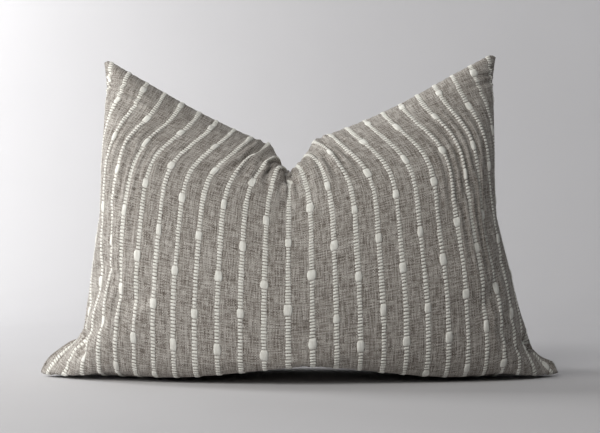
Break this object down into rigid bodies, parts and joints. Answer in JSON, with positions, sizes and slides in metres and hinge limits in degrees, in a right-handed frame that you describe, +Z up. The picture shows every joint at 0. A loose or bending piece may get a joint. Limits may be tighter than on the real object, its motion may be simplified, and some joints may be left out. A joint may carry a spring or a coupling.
{
  "type": "throw pillow",
  "caption": "Long knife-edge throw pillow: woven cover with raised slub stripes, concealed zip in the lower seam and a filled insert, standing with its top edge chopped in.",
  "frame": {"origin": "on the ground under the middle of the pillow, which stands on its long lower edge", "axes": "+X along the length, +Y through the thickness towards the back panel, +Z up; the front panel faces -Y"},
  "size_m": [0.524, 0.1938, 0.326],
  "materials": {
    "linen_cloth": "taupe grey linen-look plain weave, heathered, with fine slubs and flecks",
    "slub_yarn": "soft off-white thick and thin cotton yarn",
    "sewing_thread": "taupe polyester sewing thread",
    "overlock_thread": "off-white overlock thread",
    "zip_tape": "taupe woven polyester tape",
    "zip_coil": "taupe nylon coil",
    "zip_metal": "taupe enamelled zinc",
    "casing_cloth": "white down-proof cotton",
    "fibre_fill": "loose white fibre",
    "label_cloth": "blank white satin ribbon"
  },
  "bodies": {
    "pillow": {"cover_front_panel": "linen_cloth", "cover_back_panel": "linen_cloth", "front_slub_yarns": "slub_yarn", "back_slub_yarns": "slub_yarn", "cover_seam_thread": "sewing_thread", "cover_overlock_thread": "overlock_thread", "zip_tape_front": "zip_tape", "zip_tape_back": "zip_tape", "zip_coil_front": "zip_coil", "zip_coil_back": "zip_coil", "zip_stitching": "sewing_thread", "zip_top_stops": "zip_coil", "zip_bottom_stop": "zip_coil", "insert_front_casing": "casing_cloth", "insert_back_casing": "casing_cloth", "insert_seam_thread": "overlock_thread", "insert_fill": "fibre_fill", "insert_label": "label_cloth"},
    "slider": {"zip_slider": "zip_metal"},
    "pull": {"zip_pull": "zip_metal"}
  },
  "joints": [
    {"name": "zip_slide", "type": "slide", "parent": "pillow", "child": "slider", "axis": [-1, 0, 0], "range_m": [0, 0.43]},
    {"name": "pull_hinge", "type": "hinge", "parent": "slider", "child": "pull", "pos_m": [0.2155, 0, 0.0074], "axis": [0, 1, 0], "range_deg": [0, 154]}
  ]
}
